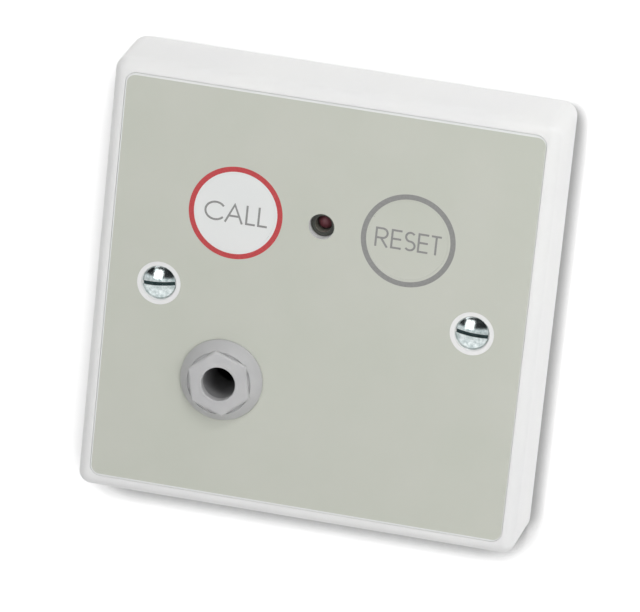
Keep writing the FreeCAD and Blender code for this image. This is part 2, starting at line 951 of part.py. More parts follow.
pieces = {
    "front_plate": front_plate,
    "overlay_label": overlay_label,
    "fixing_screws": fixing_screws,
    "call_plunger": lambda: key_plunger(call_key_x),
    "reset_plunger": lambda: key_plunger(reset_key_x),
    "call_switch_base": lambda: switch_base(call_key_x),
    "reset_switch_base": lambda: switch_base(reset_key_x),
    "call_switch_cover": lambda: switch_cover(call_key_x),
    "reset_switch_cover": lambda: switch_cover(reset_key_x),
    "call_switch_stem": lambda: switch_stem(call_key_x),
    "reset_switch_stem": lambda: switch_stem(reset_key_x),
    "call_switch_terminals": lambda: switch_terminals(call_key_x),
    "reset_switch_terminals": lambda: switch_terminals(reset_key_x),
    "indicator_lamp": indicator_lamp,
    "lamp_sleeve": lamp_sleeve,
    "lamp_leads": lamp_leads,
    "circuit_board": circuit_board,
    "board_screws": board_screws,
    "jack_body": jack_body,
    "jack_cover": jack_cover,
    "jack_tip_spring": jack_tip_spring,
    "jack_sleeve_spring": jack_sleeve_spring,
    "jack_nut": jack_nut,
    "terminal_block": terminal_block,
    "terminal_clamps": terminal_clamps,
    "terminal_screws": terminal_screws,
    "control_chip": control_chip,
    "chip_leads": chip_leads,
    "smoothing_capacitor": smoothing_capacitor,
    "capacitor_base": capacitor_base,
    "capacitor_tabs": capacitor_tabs,
    "resistor_chips": resistor_chips,
    "resistor_caps": resistor_caps,
}

os.makedirs("parts", exist_ok=True)
for name, make in pieces.items():
    shape = make()
    shape.exportStep("parts/" + name + ".step")
    print(name, len(shape.Solids), shape.isValid(), round(shape.Volume, 2))
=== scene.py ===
# %% [markdown]
# # A wall-mounted nurse call point
#
# The object is a square moulded plate that screws to a wall box. A printed film covers
# its front, with a round call key and a round reset key under it, a lamp behind a small
# hole, and a socket for the lead of a hand-held unit. The solids come from the packed
# model, in metres, and this lesson gives them the surfaces and the fine pieces that a
# look from close by would show. The front faces -Y, +Z is up, and y = 0 is the wall.

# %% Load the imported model
import math
import bpy
import bmesh
from mathutils import Matrix, Vector
from mathutils.geometry import delaunay_2d_cdt


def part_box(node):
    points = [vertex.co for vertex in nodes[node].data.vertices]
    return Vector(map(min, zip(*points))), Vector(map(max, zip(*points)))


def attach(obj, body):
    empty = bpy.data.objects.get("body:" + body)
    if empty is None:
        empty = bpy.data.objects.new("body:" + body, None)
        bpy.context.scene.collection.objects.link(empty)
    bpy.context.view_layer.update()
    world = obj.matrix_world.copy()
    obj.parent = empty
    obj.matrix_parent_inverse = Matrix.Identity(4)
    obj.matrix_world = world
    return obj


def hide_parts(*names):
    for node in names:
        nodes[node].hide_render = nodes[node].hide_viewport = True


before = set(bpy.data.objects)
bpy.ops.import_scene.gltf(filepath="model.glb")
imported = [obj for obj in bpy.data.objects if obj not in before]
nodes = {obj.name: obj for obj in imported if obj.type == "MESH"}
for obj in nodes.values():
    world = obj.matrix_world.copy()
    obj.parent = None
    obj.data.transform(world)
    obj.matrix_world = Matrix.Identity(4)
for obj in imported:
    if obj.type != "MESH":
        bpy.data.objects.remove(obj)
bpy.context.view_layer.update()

# %% [markdown]
# ## Places that everything else is worked out from
#
# Sizes below are in millimetres, because that is how such a plate is drawn. The model
# says where its pieces are, so the axis of a key, of the lamp or of the socket is read
# from the box round its solid and never typed in twice.

# %% Units, planes and axes
MM = 0.001


def box_mm(node):
    low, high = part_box(node)
    return low / MM, high / MM


def axis_of(node):
    low, high = box_mm(node)
    return ((low.x + high.x) / 2, (low.z + high.z) / 2)


label_low, label_high = box_mm("overlay_label")
front_y, label_back_y = label_low.y, label_high.y
board_back_y = box_mm("circuit_board")[1].y
call_axis, reset_axis = axis_of("call_plunger"), axis_of("reset_plunger")
lamp_axis, jack_axis = axis_of("indicator_lamp"), axis_of("jack_nut")
screw_low, screw_high = box_mm("fixing_screws")
screw_head_radius = (screw_high.z - screw_low.z) / 2
screw_x = screw_high.x - screw_head_radius
print("front of the label at y =", round(front_y, 2), "and screws at x = +/-", round(screw_x, 2))

# %% [markdown]
# ## The camera
#
# The picture was taken from above and from the right, with a long lens, and the camera
# was tipped a little, so the plate looks turned clockwise. A camera is easiest to
# reason about as a target, two angles, a distance and a roll. The focal length is set
# by how many pixels wide the plate has to be in a frame of 640 by 612 pixels.

# %% Place the camera
frame_width_px = 640
focal_px = 5820.5
sensor_mm = 36.0
camera_target = Vector((0.99, front_y, 0.62)) * MM
camera_distance = 1090.0 * MM
camera_azimuth_deg, camera_elevation_deg, camera_roll_deg = 10.35, 18.17, 5.97


def direction(azimuth_deg, elevation_deg):
    # Azimuth 0 is in front of the plate, and 90 is to its right
    turn, rise = math.radians(azimuth_deg), math.radians(elevation_deg)
    return Vector((
        math.sin(turn) * math.cos(rise), -math.cos(turn) * math.cos(rise), math.sin(rise),
    ))


def add_object(name, data):
    thing = bpy.data.objects.new(name, data)
    bpy.context.scene.collection.objects.link(thing)
    return thing


camera = add_object("camera", bpy.data.cameras.new("camera"))
bpy.context.scene.camera = camera
camera.data.sensor_width = sensor_mm
camera.data.lens = focal_px / frame_width_px * sensor_mm
camera.data.clip_start = 0.01
towards_camera = direction(camera_azimuth_deg, camera_elevation_deg)
camera.location = camera_target + towards_camera * camera_distance
looking = (-towards_camera).to_track_quat("-Z", "Y").to_matrix()
roll = Matrix.Rotation(math.radians(camera_roll_deg), 3, "Z")
camera.rotation_euler = (looking @ roll).to_euler()
print("camera at", [round(c / MM) for c in camera.location], "mm, lens", round(camera.data.lens), "mm")

# %% [markdown]
# ## Colours and nodes
#
# Colours are written as they look on a screen, in sRGB hex, and one function turns them
# into the linear values that a shader needs. A second small function adds a node with
# its settings and its links. The surfaces have much in common, so a third makes a whole
# material: its colour drifts between two close tones, and a finer pattern gives relief.

# %% Helpers for materials


def colour(hex_value):
    parts = [int(hex_value[i:i + 2], 16) / 255 for i in (1, 3, 5)]
    linear = [p / 12.92 if p <= 0.04045 else ((p + 0.055) / 1.055) ** 2.4 for p in parts]
    return (*linear, 1.0)


def add_node(tree, kind, settings=None, inputs=None, links=None):
    node = tree.nodes.new(kind)
    for name, value in (settings or {}).items():
        setattr(node, name, value)
    for name, value in (inputs or {}).items():
        node.inputs[name].default_value = value
    for name, (source, output) in (links or {}).items():
        tree.links.new(source.outputs[output], node.inputs[name])
    return node


def empty_tree(owner):
    owner.use_nodes = True
    owner.node_tree.nodes.clear()
    return owner.node_tree


TONE_SPAN = (0.35, 0.65)


def set_ramp(ramp, *stops):
    for element, (position, hex_value) in zip(ramp.color_ramp.elements, stops):
        element.position, element.color = position, colour(hex_value)


def patterned(name, tones, drift, relief=None, **inputs):
    """A material whose colour drifts between two close tones. Drift is the size of its
    patches in millimetres and their detail; relief is the size and the detail of the
    bumps, their height in millimetres and their strength."""
    material = bpy.data.materials.new(name)
    material.use_nodes = True
    tree = material.node_tree
    shader = tree.nodes["Principled BSDF"]
    for socket, value in inputs.items():
        shader.inputs[socket.replace("_", " ")].default_value = value
    place = add_node(tree, "ShaderNodeTexCoord")
    noises = []
    for size_mm, detail in [drift] + ([relief[:2]] if relief else []):
        # A noise of scale s has features about 1 / s metres wide
        noises.append(add_node(
            tree, "ShaderNodeTexNoise", inputs={"Scale": 1 / (size_mm * MM), "Detail": detail},
            links={"Vector": (place, "Object")},
        ))
    ramp = add_node(tree, "ShaderNodeValToRGB", links={"Fac": (noises[0], "Fac")})
    set_ramp(ramp, *zip(TONE_SPAN, tones))
    tree.links.new(ramp.outputs["Color"], shader.inputs["Base Color"])
    if relief:
        bump = add_node(
            tree, "ShaderNodeBump", inputs={"Distance": relief[2] * MM, "Strength": relief[3]},
            links={"Height": (noises[1], "Fac")},
        )
        tree.links.new(bump.outputs["Normal"], shader.inputs["Normal"])
    return material, tree, shader, noises[0], ramp


# %% [markdown]
# ## The materials of the front
#
# The plate is a thermoset moulding in white, which has a soft gloss and the faintest
# ripple of the tool's polish. The film is polycarbonate, printed on its back and
# textured on its front, so it is matt and takes a broad, weak sheen. The colours were
# matched to the picture under this lesson's own lights.

# %% White moulded urea plate
# Polishing marks of the tool are a fraction of a micron deep; at 0.6 mm they just show
plate_finish = patterned(
    "moulded_urea_satin", ("#eaeaea", "#ededec"), (22.0, 2.0), (0.6, 3.0, 0.012, 0.35),
    Roughness=0.45, IOR=1.52,
)[0]

# %% Printed polycarbonate film


def printed_film(name, *tones):
    # The real texture is a 0.03 mm grain; at 0.2 mm it just shows in the picture
    film_grain = (0.2, 2.0, 0.01, 0.5)
    return patterned(name, tones, (16.0, 3.0), film_grain, Roughness=0.46, IOR=1.585)[0]


label_finish = printed_film("printed_film_stone", "#c3c6bb", "#c6c8be")
call_field_finish = printed_film("printed_film_white", "#e4e6e5", "#e7e8e7")

# %% Screen-printed ink


def printed_ink(name, *tones):
    # Ink under a film has no relief, only a slight mottle of its own density
    return patterned(name, tones, (0.5, 2.0), Roughness=0.46, IOR=1.585)[0]


red_ink = printed_ink("ink_signal_red", "#b83438", "#c13e42")
grey_ink = printed_ink("ink_mid_grey", "#868685", "#8e8e8c")

# %% [markdown]
# ## The materials of the fittings
#
# The fixing screws are zinc-plated steel with a clear blue passivate, so the metal looks
# cold and slightly green-blue. They are plated loose in a barrel, which leaves small
# scuffs all over. The inside of the slot gets a dark, dull finish, which is painted shade
# for the recess below its rounded edge. The socket's nut is moulded nylon in light grey,
# with a waxy sheen, and the socket behind it is a darker grey.

# %% Plated metal


def plated_metal(name, dark, light, gloss, cloud_mm, scuff_mm=0.35, scuff_depth_mm=0.013):
    # Gloss is the lowest and the highest roughness, which the cloud moves between
    material, tree, shader, cloud, _ = patterned(
        name, (dark, light), (cloud_mm, 4.0), (scuff_mm, 3.0, scuff_depth_mm, 1.0), Metallic=1.0,
    )
    rough = add_node(
        tree, "ShaderNodeMapRange", inputs={"To Min": gloss[0], "To Max": gloss[1]},
        links={"Value": (cloud, "Fac")},
    )
    tree.links.new(rough.outputs["Result"], shader.inputs["Roughness"])
    return material


screw_finish = plated_metal(
    "zinc_plated_steel", "#b4c0c0", "#e0e7e7", (0.08, 0.2), 0.7, scuff_depth_mm=0.007,
)
# Painted shade: a dark colour for the inside of the slot, which is also rougher
slot_painted_shade_finish = plated_metal("painted_shade_in_slot", "#334243", "#465657", (0.45, 0.6), 0.7)

# %% Moulded nylon


def moulded_plastic(name, dark, light, roughness, ior=1.53, grain_mm=0.35):
    grain = (grain_mm, 2.0, 0.012, 0.4)
    return patterned(name, (dark, light), (5.0, 2.0), grain, Roughness=roughness, IOR=ior)[0]


nut_finish = moulded_plastic("moulded_nylon_grey", "#bababb", "#c0c0c0", 0.42)
socket_finish = moulded_plastic("moulded_nylon_slate", "#88888a", "#919192", 0.5)
key_finish = moulded_plastic("moulded_acetal_white", "#e6e8e6", "#ecedeb", 0.4, 1.48)
black_finish = moulded_plastic("moulded_nylon_black", "#17171a", "#1d1d20", 0.45)
terminal_finish = moulded_plastic("moulded_polyamide_green", "#2f8a5b", "#359363", 0.45)
epoxy_finish = moulded_plastic("moulded_epoxy_black", "#1c1c1e", "#232325", 0.6, 1.55, 0.08)

# %% [markdown]
# ## Outlines
#
# Most outlines here are arcs, circles and squares with rounded corners, in the plane of
# the plate. Each is a list of (x, z) points in millimetres, anticlockwise. A constrained
# triangulation turns closed outlines into a flat net of faces that is cut along them.

# %% Arcs and rounded squares


def arc(centre, radii, start_deg, end_deg, count):
    # Points on part of an ellipse, both ends included
    steps = [math.radians(start_deg + (end_deg - start_deg) * i / count) for i in range(count + 1)]
    return [(centre[0] + radii[0] * math.cos(t), centre[1] + radii[1] * math.sin(t)) for t in steps]


def circle(centre, radius, count=128):
    return arc(centre, (radius, radius), 0, 360 * (count - 1) / count, count - 1)


def box_corners(x, z, half_x, half_z):
    return [(x + u * half_x, z + v * half_z) for u, v in ((-1, -1), (1, -1), (1, 1), (-1, 1))]


def rounded_box(x, z, half_x, half_z, corner):
    outline = []
    for quarter, centre in enumerate(box_corners(x, z, corner - half_x, corner - half_z)):
        outline += arc(centre, (corner, corner), 90 * quarter, 90 * quarter + 90, 10)
    return outline


def net_of(loops):
    # The points of the net, and each face with the numbers of the loops that hold it
    flat, areas = [], []
    for loop in loops:
        areas.append(list(range(len(flat), len(flat) + len(loop))))
        flat += [Vector(p) for p in loop]
    places, _, faces, _, _, holders = delaunay_2d_cdt(flat, [], areas, 0, 1e-5)
    return places, [(tuple(face), held_by) for face, held_by in zip(faces, holders)]


# %% [markdown]
# ## The studio
#
# The plate hangs on a wall, so the backdrop is a wall at y = 0 that sweeps down into a
# floor. Its mouth, as for a wall box, is drawn out to just inside the plate's edge, so
# that the whole back can be looked into. Its back face lets camera rays through, or a
# camera behind it would see only plaster. The front has a little light of its own for
# the camera and for what metal mirrors, which makes the open wall white. The soft shadow
# to the right of the plate and below it comes from Ambient Occlusion, which asks how
# much of the space near a point is taken by the object, once to the left and once above.

# %% Wall and floor in one sweep
mouth_half, mouth_corner = box_mm("front_plate")[1].x - 0.3, 2.6
sweep_half_width, wall_top, floor_front = 3000.0, 3000.0, -3000.0
sweep_radius, sweep_steps, floor_z = 250.0, 12, -500.0
wall_foot = floor_z + sweep_radius

# The flat wall is a net of faces round the mouth
wall = box_corners(0, (wall_top + wall_foot) / 2, sweep_half_width, (wall_top - wall_foot) / 2)
places, net = net_of([wall, rounded_box(0, 0, mouth_half, mouth_half, mouth_corner)])
sweep_points = [(p.x, 0.0, p.y) for p in places]
sweep_faces = [face for face, held_by in net if held_by == [0]]

# The sweep and the floor follow as strips from side to side
sweep = arc((-sweep_radius, wall_foot), (sweep_radius, sweep_radius), 0, -90, sweep_steps)
for y, z in sweep + [(floor_front, floor_z)]:
    sweep_points += [(-sweep_half_width, y, z), (sweep_half_width, y, z)]
for first in range(len(places), len(sweep_points) - 2, 2):
    sweep_faces.append((first, first + 2, first + 3, first + 1))

studio_mesh = bpy.data.meshes.new("studio_sweep")
studio_mesh.from_pydata([Vector(p) * MM for p in sweep_points], [], sweep_faces)
studio_mesh.shade_smooth()
add_object("studio_sweep", studio_mesh)
print("wall faces front:", studio_mesh.polygons[0].normal.y < 0)
print("floor faces up:", studio_mesh.polygons[-1].normal.z > 0)

# %% Matt white paint for the sweep
wall_glow = 0.5
shadow_tone = "#8c8c8c"
shadow_sides = [
    # The way to look, how far in millimetres, and the shares of free space at which
    # the shadow is darkest and at which it ends
    ((-0.85, -0.5, 0.1), 3.4, 0.35, 0.92),
    ((0.05, -0.45, 0.89), 9.5, 0.57, 0.86),
]
paint = bpy.data.materials.new("studio_paint")
tree = empty_tree(paint)
path = add_node(tree, "ShaderNodeLightPath")
side = add_node(tree, "ShaderNodeNewGeometry")
shades = []
for lean, reach_mm, darkest, lightest in shadow_sides:
    looking_way = add_node(tree, "ShaderNodeCombineXYZ", inputs=dict(zip("XYZ", lean)))
    near = add_node(
        tree, "ShaderNodeAmbientOcclusion", {"samples": 16},
        {"Distance": reach_mm * MM}, {"Normal": (looking_way, "Vector")},
    )
    shades.append(add_node(tree, "ShaderNodeValToRGB", links={"Fac": (near, "AO")}))
    set_ramp(shades[-1], (darkest, shadow_tone), (lightest, "#ffffff"))
both = add_node(
    tree, "ShaderNodeMix", {"data_type": "RGBA", "blend_type": "DARKEN"}, {0: 1.0},
    {6: (shades[0], "Color"), 7: (shades[1], "Color")},
)
seen_shade = add_node(
    tree, "ShaderNodeMix", {"data_type": "RGBA"}, {6: colour("#ffffff")},
    {0: (path, "Is Camera Ray"), 7: (both, 2)},
)
painted = add_node(
    tree, "ShaderNodeMix", {"data_type": "RGBA", "blend_type": "MULTIPLY"},
    {0: 1.0, 6: colour("#f2f2f2")}, {7: (seen_shade, 2)},
)
matt = add_node(tree, "ShaderNodeBsdfDiffuse", links={"Color": (painted, 2)})
seen_by = (path, "Is Camera Ray")
for ray in ("Is Glossy Ray", "Is Transmission Ray"):
    either = add_node(
        tree, "ShaderNodeMath", {"operation": "MAXIMUM"}, links={0: seen_by, 1: (path, ray)},
    )
    seen_by = (either, "Value")
glow_level = add_node(
    tree, "ShaderNodeMath", {"operation": "MULTIPLY"}, {1: wall_glow}, {0: seen_by},
)
glow = add_node(
    tree, "ShaderNodeEmission",
    links={"Color": (seen_shade, 2), "Strength": (glow_level, "Value")},
)
lit = add_node(tree, "ShaderNodeAddShader", links={0: (matt, "BSDF"), 1: (glow, "Emission")})
clear = add_node(tree, "ShaderNodeBsdfTransparent")
seen_from_behind = add_node(
    tree, "ShaderNodeMath", {"operation": "MULTIPLY"},
    links={0: (path, "Is Camera Ray"), 1: (side, "Backfacing")},
)
mix = add_node(
    tree, "ShaderNodeMixShader",
    links={0: (seen_from_behind, "Value"), 1: (lit, "Shader"), 2: (clear, "BSDF")},
)
add_node(tree, "ShaderNodeOutputMaterial", links={"Surface": (mix, "Shader")})
studio_mesh.materials.append(paint)

# %% [markdown]
# ## The light
#
# One soft box stands in front and above, the other in front and close to the right, so
# the top and the right side of the plate come out nearly as light as its front, and the
# left edge falls away into grey. A weaker square one, like a window, stands near the
# camera and is what the screw heads mirror. A level of 1 means that a white card turned
# to that lamp alone would render as white. The sky that metal reflects is dark above and
# pale below, like a dim room with a pale floor.

# %% Soft boxes
LEVEL_TO_WATTS = math.pi ** 2


def soft_box(name, azimuth_deg, elevation_deg, distance, width, height, level):
    out = direction(azimuth_deg, elevation_deg)
    lamp = bpy.data.lights.new(name, "AREA")
    lamp.shape = "RECTANGLE"
    lamp.size, lamp.size_y = width * MM, height * MM
    lamp.energy = level * LEVEL_TO_WATTS * (distance * MM) ** 2
    holder = add_object(name, lamp)
    holder.location = out * distance * MM
    holder.rotation_euler = out.to_track_quat("Z", "Y").to_euler()
    print(name, "gives", round(lamp.energy, 2), "W")
    return holder


soft_box("window", -16.0, 14.0, 950.0, 520.0, 520.0, 0.22)
soft_box("top_box", 22.0, 50.0, 950.0, 380.0, 260.0, 0.28)
soft_box("right_box", 42.0, 10.0, 450.0, 300.0, 300.0, 0.33).visible_glossy = False
soft_box("back_box_left", 205.0, 25.0, 950.0, 500.0, 400.0, 0.5)
soft_box("back_box_right", 150.0, 45.0, 950.0, 500.0, 400.0, 0.35)

# %% Sky
ambient_level = 0.3
sky_pale, sky_dark, sky_blend = "#eef2f3", "#26282a", 0.12
world = bpy.data.worlds.new("studio_sky")
bpy.context.scene.world = world
tree = empty_tree(world)
path = add_node(tree, "ShaderNodeLightPath")
where = add_node(tree, "ShaderNodeTexCoord")
height = add_node(tree, "ShaderNodeSeparateXYZ", links={"Vector": (where, "Generated")})
ramp = add_node(tree, "ShaderNodeValToRGB", links={"Fac": (height, "Z")})
set_ramp(ramp, (0.0, sky_pale), (sky_blend, sky_dark))
mirrored = add_node(tree, "ShaderNodeBackground", links={"Color": (ramp, "Color")})
ambient, white = [
    add_node(tree, "ShaderNodeBackground", inputs={"Color": colour("#ffffff"), "Strength": level})
    for level in (ambient_level, 1.0)
]
sees_through = add_node(
    tree, "ShaderNodeMath", {"operation": "MAXIMUM"},
    links={0: (path, "Is Camera Ray"), 1: (path, "Is Transmission Ray")},
)
gloss_mix = add_node(
    tree, "ShaderNodeMixShader",
    links={0: (path, "Is Glossy Ray"), 1: (ambient, "Background"), 2: (mirrored, "Background")},
)
view_mix = add_node(
    tree, "ShaderNodeMixShader",
    links={0: (sees_through, "Value"), 1: (gloss_mix, "Shader"), 2: (white, "Background")},
)
add_node(tree, "ShaderNodeOutputWorld", links={"Surface": (view_mix, "Shader")})
bpy.context.scene.view_settings.view_transform = "Standard"

# %% [markdown]
# ## Making a piece
#
# A piece is a list of points in millimetres and a list of faces. One function turns them
# into an object, points all faces outwards, keeps edges sharp past a given angle, and
# lets it ride on a body of the model. Another joins rings of points into a skin. When the
# rings are circles round an axis that runs front to back, that is how a lathe makes
# screws, lamps and bushes.

# %% Helpers for meshes


def outward_mesh(name, shape, face_finish=None):
    # Points that coincide are merged, and all faces are turned outwards
    points, faces = shape
    mesh = bpy.data.meshes.new(name)
    mesh.from_pydata([Vector(p) * MM for p in points], [], faces)
    if face_finish:
        mesh.polygons.foreach_set("material_index", face_finish)
    shell = bmesh.new()
    shell.from_mesh(mesh)
    bmesh.ops.remove_doubles(shell, verts=shell.verts, dist=1e-7)
    bmesh.ops.recalc_face_normals(shell, faces=shell.faces)
    shell.to_mesh(mesh)
    shell.free()
    return mesh


def make_piece(
    name, shape, finishes, body="root", replaces=(), sharp_deg=35.0, face_finish=None,
):
    mesh = outward_mesh(name, shape, face_finish)
    for finish in finishes:
        mesh.materials.append(finish)
    mesh.shade_smooth()
    mesh.set_sharp_from_angle(angle=math.radians(sharp_deg))
    piece = add_object(name, mesh)
    piece.modifiers.new("weighted_normals", "WEIGHTED_NORMAL").keep_sharp = True
    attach(piece, body)
    if replaces:
        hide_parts(*replaces)
    print(name, "has", len(mesh.polygons), "faces")


def skin(rings, close_ends=False):
    # Rings joined in turn into a tube; a ring of one point closes it to a tip
    count = max(len(ring) for ring in rings)
    points, faces, rows = [], [], []
    for ring in rings:
        rows.append([len(points) + i % len(ring) for i in range(count)])
        points += ring
    for low, high in zip(rows, rows[1:]):
        for i in range(count):
            j = (i + 1) % count
            faces.append(tuple(dict.fromkeys((low[i], low[j], high[j], high[i]))))
    if close_ends:
        faces += [tuple(rows[0]), tuple(rows[-1])]
    return points, faces


def spot(axis, turn, radius, y):
    return (axis[0] + radius * math.cos(turn), y, axis[1] + radius * math.sin(turn))


def circle_ring(axis, radius, y, count):
    # At radius 0 the ring is a single point
    return [spot(axis, 2 * math.pi * i / count, radius, y) for i in range(count if radius else 1)]


def lathe(profile, axis, count):
    return skin([circle_ring(axis, radius, y, count) for radius, y in profile])


# %% [markdown]
# ## The printed film
#
# The front is one sheet of film with holes for the screws, the lamp and the socket. It
# bends over each key when a finger presses, so here it is cut on a circle just inside
# each printed ring, and each disc rides on its key. The print lies in the face of the
# film, which is cut along the outline of every ring and letter, and each little face
# takes the ink whose outline holds it, so nothing floats above the film. The stone colour
# stops a little short of the edge, so a thin band of white film paints the highlight
# along the lip of the plate's recess.

# %% Outlines in the plane of the film
film_growth = 0.07
film_half = label_high.x + film_growth
film_corner_radius = 2.0 + film_growth
# White bands that paint the recess lip's highlight, where the stone colour stops: left, bottom, right and
# top
painted_highlight_margins = (0.22, 0.33, 0.1, 0.46)
print_corner_radius = 1.6983
collar_hole_radius = 4.21
lamp_hole_radius = 2.45
socket_hole_radius = 4.9
key_film_radius, key_film_gap = 7.65, 0.02
call_ring, reset_ring = (-16.8, 16.03), (16.29, 15.97)
ring_radii = (9.0, 8.0)


def slab(places, flat_faces, y_front, y_back):
    # A flat net of faces gets a thickness: its front, its back, and rims where it ends
    behind = len(places)
    points = [(p.x, y, p.y) for y in (y_front, y_back) for p in places]
    used = {pair for face in flat_faces for pair in zip(face, face[1:] + face[:1])}
    back = [tuple(i + behind for i in reversed(face)) for face in flat_faces]
    rims = [(a, b, b + behind, a + behind) for a, b in sorted(used) if (b, a) not in used]
    return points, flat_faces + back + rims


def printed_sheet(outline, holes, inks, y_front, y_back):
    """A flat sheet whose front face is cut along the outlines of its inks.
    Gives a shape and, for each face, 0 for bare film or 1 and up for an ink."""
    loops = [outline] + holes
    ink_of = {}
    for number, ink in enumerate(inks, 1):
        for loop in ink:
            ink_of[len(loops)] = number
            loops.append(loop)
    places, net = net_of(loops)
    front, finish = [], []
    for face, held_by in net:
        if 0 in held_by and not any(1 <= area <= len(holes) for area in held_by):
            front.append(face)
            finish.append(max(ink_of.get(area, 0) for area in held_by))
    shape = slab(places, front, y_front, y_back)
    return shape, finish + [0] * (len(shape[1]) - len(front))


# %% [markdown]
# ## Letters from strokes
#
# The words on the two keys are the plain words for what the keys do, in a thin sans of
# even stroke. Each letter is a few strokes, and a stroke is a line or an arc with a
# width. That makes a word out of a handful of points, and no font is needed.

# %% Strokes and the two words
stroke_width = 0.4
base_z, head_z = 14.22, 17.62
middle_z, half_high = (base_z + head_z) / 2, (head_z - base_z) / 2
foot_z = base_z - stroke_width / 2


def stroke(line, width=stroke_width):
    # The outline of a line of points, offset to both sides, with square ends
    line = [Vector(p) for p in line]
    left, right = [], []
    for i, point in enumerate(line):
        before = (point - line[i - 1]).normalized() if i else None
        after = (line[i + 1] - point).normalized() if i < len(line) - 1 else None
        ahead = ((before or after) + (after or before)).normalized()
        reach = width / 2 / max(0.5, ahead.dot(after or before))
        aside = Vector((-ahead.y, ahead.x)) * reach
        left.append(tuple(point + aside))
        right.append(tuple(point - aside))
    return right + left[::-1]


def letter_c(left, right):
    open_deg = 38
    wide = (right - left) / (1 + math.cos(math.radians(open_deg)))
    return [arc((left + wide, middle_z), (wide, half_high), open_deg, 360 - open_deg, 36)]


def letter_l(left, right):
    return [[(left, head_z + stroke_width / 2), (left, base_z), (right, base_z)]]


def letter_a(left, right):
    apex, bar_rise = (left + right) / 2, 1.15
    bar_z, inset = base_z + bar_rise, (apex - left) / (head_z - base_z) * bar_rise
    legs = [(left, foot_z), (apex, head_z), (right, foot_z)]
    return [legs, [(left + inset, bar_z), (right - inset, bar_z)]]


def letter_e(left, right):
    bar_z = middle_z + 0.05
    back = [(right, head_z), (left, head_z), (left, base_z), (right, base_z)]
    return [back, [(left, bar_z), (right - 0.1, bar_z)]]


def letter_r(left, right):
    bowl_low = base_z + 1.55
    bowl = (head_z - bowl_low) / 2
    bowl_x = right - 0.15 - bowl
    loop = [(left - stroke_width / 2, head_z)]
    loop += arc((bowl_x, head_z - bowl), (bowl, bowl), 90, -90, 18) + [(left, bowl_low)]
    leg = [(bowl_x - 0.25, bowl_low), (right - 0.05, foot_z)]
    return [[(left, foot_z), (left, head_z)], loop, leg]


def letter_s(left, right):
    middle_x, half, high = (left + right) / 2, (right - left) / 2, half_high / 2
    upper = arc((middle_x, head_z - high), (half * 0.92, high), 35, 270, 22)
    return [upper + arc((middle_x, base_z + high), (half, high), 90, -145, 22)[1:]]


def letter_t(left, right):
    middle_x = (left + right) / 2
    return [[(left, head_z), (right, head_z)], [(middle_x, head_z), (middle_x, foot_z)]]


def word(*letters):
    return [stroke(line) for letter, left, right in letters for line in letter(left, right)]


call_word = word(
    (letter_c, -22.6, -19.15), (letter_a, -18.69, -15.42),
    (letter_l, -14.63, -12.93), (letter_l, -12.31, -10.62),
)
reset_word = word(
    (letter_r, 10.18, 12.45), (letter_e, 13.2, 15.05), (letter_s, 15.75, 17.6),
    (letter_e, 18.3, 20.15), (letter_t, 20.63, 22.54),
)
print("strokes:", len(call_word), "and", len(reset_word))

# %% Film, key discs and print
holes = [
    circle(centre, radius) for centre, radius in [
        ((-screw_x, 0.0), collar_hole_radius), ((screw_x, 0.0), collar_hole_radius),
        (lamp_axis, lamp_hole_radius), (jack_axis, socket_hole_radius),
        (call_axis, key_film_radius), (reset_axis, key_film_radius),
    ]
]
# The white band left round the printed area is a painted highlight along the film's edge
left, bottom, right, top = painted_highlight_margins
printed_area = rounded_box(
    (left - right) / 2, (bottom - top) / 2,
    film_half - (left + right) / 2, film_half - (bottom + top) / 2, print_corner_radius,
)
rings = [[circle(centre, radius)] for centre in (call_ring, reset_ring) for radius in ring_radii]
label_shape, label_faces = printed_sheet(
    rounded_box(0, 0, film_half, film_half, film_corner_radius), holes,
    [[printed_area]] + rings, front_y, label_back_y,
)
# The stone colour shows again inside the second ring, so it comes twice in the list
make_piece(
    "label_film", label_shape,
    [call_field_finish, label_finish, red_ink, call_field_finish, grey_ink, label_finish],
    replaces=["overlay_label"], face_finish=label_faces,
)
for name, axis, lettering, field, body in [
    ("call_key_film", call_axis, call_word, call_field_finish, "call_key"),
    ("reset_key_film", reset_axis, reset_word, label_finish, "reset_key"),
]:
    disc_shape, disc_faces = printed_sheet(
        circle(axis, key_film_radius - key_film_gap), [], [lettering], front_y, label_back_y,
    )
    make_piece(name, disc_shape, [field, grey_ink], body, face_finish=disc_faces)

# %% [markdown]
# ## The fixing screws
#
# These are machine screws with a raised countersunk head. The head's crown is part of a
# ball, turned, and the slot is sawn across it, so the slot's edges are crisp with a
# small burr rounded off. The thread behind the wall is cut as a height on a fine grid
# of rings: the radius rises and falls once for each turn of the pitch.

# %% Head, slot and thread
head_sink, head_dome = 0.4, 0.9
slot_width, slot_depth, slot_edge = 0.7, 1.15, 0.12
slot_turns_deg = (6.0, -3.5)
neck_radius = 1.55
thread_pitch, thread_crest, thread_root = 0.6, 1.75, 1.42
thread_start = -0.3
rows_per_pitch = 6
rim_y = front_y + head_sink
crest_y = rim_y - head_dome
crown_radius = (screw_head_radius ** 2 + head_dome ** 2) / (2 * head_dome)


def crown_y(radius):
    return crest_y + crown_radius - math.sqrt(crown_radius ** 2 - radius ** 2)


def thread_rings(axis, start_y, tip_y, pitch, crest, root, count):
    # Rings from the start to the tip, where the crest sinks away over the last turn
    rows = int(abs(tip_y - start_y) / pitch * rows_per_pitch)
    rings = []
    for row in range(rows + 1):
        y = start_y + (tip_y - start_y) * row / rows
        fade = min(1.0, abs(tip_y - y) / pitch)
        ring = []
        for i in range(count):
            rise = 1 - abs(2 * ((y / pitch - i / count) % 1.0) - 1)
            radius = root + (crest - root) * min(1.0, 1.25 * rise) * fade
            ring.append(spot(axis, 2 * math.pi * i / count, radius, y))
        rings.append(ring)
    return rings


